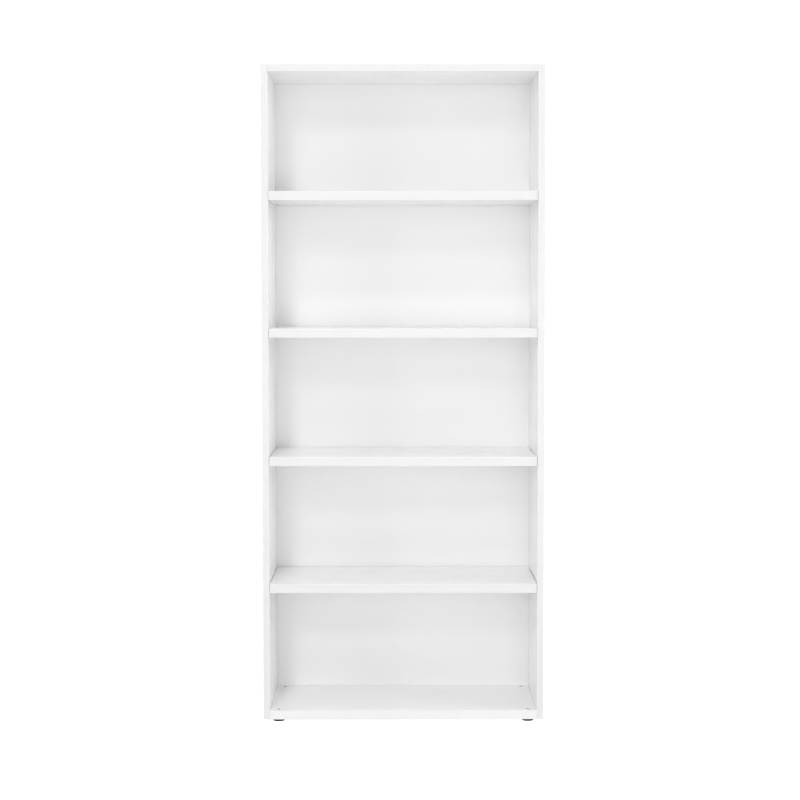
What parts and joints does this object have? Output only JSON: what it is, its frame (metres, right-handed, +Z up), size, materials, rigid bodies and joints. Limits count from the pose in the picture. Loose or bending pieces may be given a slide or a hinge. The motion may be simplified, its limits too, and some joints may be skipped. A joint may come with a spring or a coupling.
{
  "type": "bookcase with adjustable shelves",
  "caption": "Tall open bookcase of white boards with loose shelves on hidden pins, a grooved-in back and low levelling feet turned from inside.",
  "frame": {"origin": "on the floor, under the middle of the bookcase: halfway across its width and its depth, level with the undersides of the feet", "axes": "+Z up, the longest extent. +Y from the open front towards the back, the shortest extent. +X to the right as seen from the front"},
  "size_m": [0.8, 0.4, 1.863],
  "materials": {
    "white_board": "matt white melamine on particle board, with matching edge bands",
    "white_back": "matt white melamine on thin particle board",
    "bright_steel": "zinc plated",
    "cast_zinc": "raw die-cast zinc",
    "dark_plastic": "moulded, dark grey to black",
    "beech": "bare fluted beech"
  },
  "bodies": {
    "carcass": {"side_panel_left": "white_board", "side_panel_right": "white_board", "top_panel": "white_board", "bottom_panel": "white_board", "back_panel": "white_back", "foot_socket_front_left": "dark_plastic", "foot_socket_front_right": "dark_plastic", "foot_socket_rear_left": "dark_plastic", "foot_socket_rear_right": "dark_plastic", "cam_lock_top_front_left": "cast_zinc", "cam_lock_top_front_right": "cast_zinc", "cam_lock_top_rear_left": "cast_zinc", "cam_lock_top_rear_right": "cast_zinc", "cam_lock_bottom_front_left": "cast_zinc", "cam_lock_bottom_front_right": "cast_zinc", "cam_lock_bottom_rear_left": "cast_zinc", "cam_lock_bottom_rear_right": "cast_zinc", "cam_bolt_top_front_left": "bright_steel", "cam_bolt_top_front_right": "bright_steel", "cam_bolt_top_rear_left": "bright_steel", "cam_bolt_top_rear_right": "bright_steel", "cam_bolt_bottom_front_left": "bright_steel", "cam_bolt_bottom_front_right": "bright_steel", "cam_bolt_bottom_rear_left": "bright_steel", "cam_bolt_bottom_rear_right": "bright_steel", "dowel_top_left": "beech", "dowel_top_right": "beech", "dowel_bottom_left": "beech", "dowel_bottom_right": "beech"},
    "shelf_1": {"shelf_1": "white_board"},
    "shelf_2": {"shelf_2": "white_board"},
    "shelf_3": {"shelf_3": "white_board"},
    "shelf_4": {"shelf_4": "white_board"},
    "foot_front_left": {"foot_pad_front_left": "dark_plastic"},
    "screw_front_left": {"foot_screw_front_left": "bright_steel"},
    "foot_front_right": {"foot_pad_front_right": "dark_plastic"},
    "screw_front_right": {"foot_screw_front_right": "bright_steel"},
    "foot_rear_left": {"foot_pad_rear_left": "dark_plastic"},
    "screw_rear_left": {"foot_screw_rear_left": "bright_steel"},
    "foot_rear_right": {"foot_pad_rear_right": "dark_plastic"},
    "screw_rear_right": {"foot_screw_rear_right": "bright_steel"},
    "pin_1_front_left": {"shelf_pin_1_front_left": "bright_steel"},
    "pin_1_front_right": {"shelf_pin_1_front_right": "bright_steel"},
    "pin_1_rear_left": {"shelf_pin_1_rear_left": "bright_steel"},
    "pin_1_rear_right": {"shelf_pin_1_rear_right": "bright_steel"},
    "pin_2_front_left": {"shelf_pin_2_front_left": "bright_steel"},
    "pin_2_front_right": {"shelf_pin_2_front_right": "bright_steel"},
    "pin_2_rear_left": {"shelf_pin_2_rear_left": "bright_steel"},
    "pin_2_rear_right": {"shelf_pin_2_rear_right": "bright_steel"},
    "pin_3_front_left": {"shelf_pin_3_front_left": "bright_steel"},
    "pin_3_front_right": {"shelf_pin_3_front_right": "bright_steel"},
    "pin_3_rear_left": {"shelf_pin_3_rear_left": "bright_steel"},
    "pin_3_rear_right": {"shelf_pin_3_rear_right": "bright_steel"},
    "pin_4_front_left": {"shelf_pin_4_front_left": "bright_steel"},
    "pin_4_front_right": {"shelf_pin_4_front_right": "bright_steel"},
    "pin_4_rear_left": {"shelf_pin_4_rear_left": "bright_steel"},
    "pin_4_rear_right": {"shelf_pin_4_rear_right": "bright_steel"}
  },
  "joints": [
    {"name": "draw_shelf_1", "type": "slide", "parent": "carcass", "child": "shelf_1", "axis": [0, -1, 0], "range_m": [0, 0.4]},
    {"name": "draw_shelf_2", "type": "slide", "parent": "carcass", "child": "shelf_2", "axis": [0, -1, 0], "range_m": [0, 0.4]},
    {"name": "draw_shelf_3", "type": "slide", "parent": "carcass", "child": "shelf_3", "axis": [0, -1, 0], "range_m": [0, 0.4]},
    {"name": "draw_shelf_4", "type": "slide", "parent": "carcass", "child": "shelf_4", "axis": [0, -1, 0], "range_m": [0, 0.4]},
    {"name": "pad_travel_front_left", "type": "slide", "parent": "carcass", "child": "foot_front_left", "axis": [0, 0, -1], "range_m": [0, 0.009]},
    {"name": "level_screw_front_left", "type": "hinge", "parent": "foot_front_left", "child": "screw_front_left", "pos_m": [-0.356, -0.178, 0.007], "axis": [0, 0, -1], "range_deg": [0, 2160]},
    {"name": "pad_travel_front_right", "type": "slide", "parent": "carcass", "child": "foot_front_right", "axis": [0, 0, -1], "range_m": [0, 0.009]},
    {"name": "level_screw_front_right", "type": "hinge", "parent": "foot_front_right", "child": "screw_front_right", "pos_m": [0.356, -0.178, 0.007], "axis": [0, 0, -1], "range_deg": [0, 2160]},
    {"name": "pad_travel_rear_left", "type": "slide", "parent": "carcass", "child": "foot_rear_left", "axis": [0, 0, -1], "range_m": [0, 0.009]},
    {"name": "level_screw_rear_left", "type": "hinge", "parent": "foot_rear_left", "child": "screw_rear_left", "pos_m": [-0.356, 0.156, 0.007], "axis": [0, 0, -1], "range_deg": [0, 2160]},
    {"name": "pad_travel_rear_right", "type": "slide", "parent": "carcass", "child": "foot_rear_right", "axis": [0, 0, -1], "range_m": [0, 0.009]},
    {"name": "level_screw_rear_right", "type": "hinge", "parent": "foot_rear_right", "child": "screw_rear_right", "pos_m": [0.356, 0.156, 0.007], "axis": [0, 0, -1], "range_deg": [0, 2160]},
    {"name": "pull_pin_1_front_left", "type": "slide", "parent": "carcass", "child": "pin_1_front_left", "axis": [1, 0, 0], "range_m": [0, 0.0095]},
    {"name": "pull_pin_1_front_right", "type": "slide", "parent": "carcass", "child": "pin_1_front_right", "axis": [-1, 0, 0], "range_m": [0, 0.0095]},
    {"name": "pull_pin_1_rear_left", "type": "slide", "parent": "carcass", "child": "pin_1_rear_left", "axis": [1, 0, 0], "range_m": [0, 0.0095]},
    {"name": "pull_pin_1_rear_right", "type": "slide", "parent": "carcass", "child": "pin_1_rear_right", "axis": [-1, 0, 0], "range_m": [0, 0.0095]},
    {"name": "pull_pin_2_front_left", "type": "slide", "parent": "carcass", "child": "pin_2_front_left", "axis": [1, 0, 0], "range_m": [0, 0.0095]},
    {"name": "pull_pin_2_front_right", "type": "slide", "parent": "carcass", "child": "pin_2_front_right", "axis": [-1, 0, 0], "range_m": [0, 0.0095]},
    {"name": "pull_pin_2_rear_left", "type": "slide", "parent": "carcass", "child": "pin_2_rear_left", "axis": [1, 0, 0], "range_m": [0, 0.0095]},
    {"name": "pull_pin_2_rear_right", "type": "slide", "parent": "carcass", "child": "pin_2_rear_right", "axis": [-1, 0, 0], "range_m": [0, 0.0095]},
    {"name": "pull_pin_3_front_left", "type": "slide", "parent": "carcass", "child": "pin_3_front_left", "axis": [1, 0, 0], "range_m": [0, 0.0095]},
    {"name": "pull_pin_3_front_right", "type": "slide", "parent": "carcass", "child": "pin_3_front_right", "axis": [-1, 0, 0], "range_m": [0, 0.0095]},
    {"name": "pull_pin_3_rear_left", "type": "slide", "parent": "carcass", "child": "pin_3_rear_left", "axis": [1, 0, 0], "range_m": [0, 0.0095]},
    {"name": "pull_pin_3_rear_right", "type": "slide", "parent": "carcass", "child": "pin_3_rear_right", "axis": [-1, 0, 0], "range_m": [0, 0.0095]},
    {"name": "pull_pin_4_front_left", "type": "slide", "parent": "carcass", "child": "pin_4_front_left", "axis": [1, 0, 0], "range_m": [0, 0.0095]},
    {"name": "pull_pin_4_front_right", "type": "slide", "parent": "carcass", "child": "pin_4_front_right", "axis": [-1, 0, 0], "range_m": [0, 0.0095]},
    {"name": "pull_pin_4_rear_left", "type": "slide", "parent": "carcass", "child": "pin_4_rear_left", "axis": [1, 0, 0], "range_m": [0, 0.0095]},
    {"name": "pull_pin_4_rear_right", "type": "slide", "parent": "carcass", "child": "pin_4_rear_right", "axis": [-1, 0, 0], "range_m": [0, 0.0095]}
  ],
  "couplings": [
    {"joint": "level_screw_front_left", "follows": "pad_travel_front_left", "rad_per_m": 4188.8},
    {"joint": "level_screw_front_right", "follows": "pad_travel_front_right", "rad_per_m": 4188.8},
    {"joint": "level_screw_rear_left", "follows": "pad_travel_rear_left", "rad_per_m": 4188.8},
    {"joint": "level_screw_rear_right", "follows": "pad_travel_rear_right", "rad_per_m": 4188.8}
  ]
}
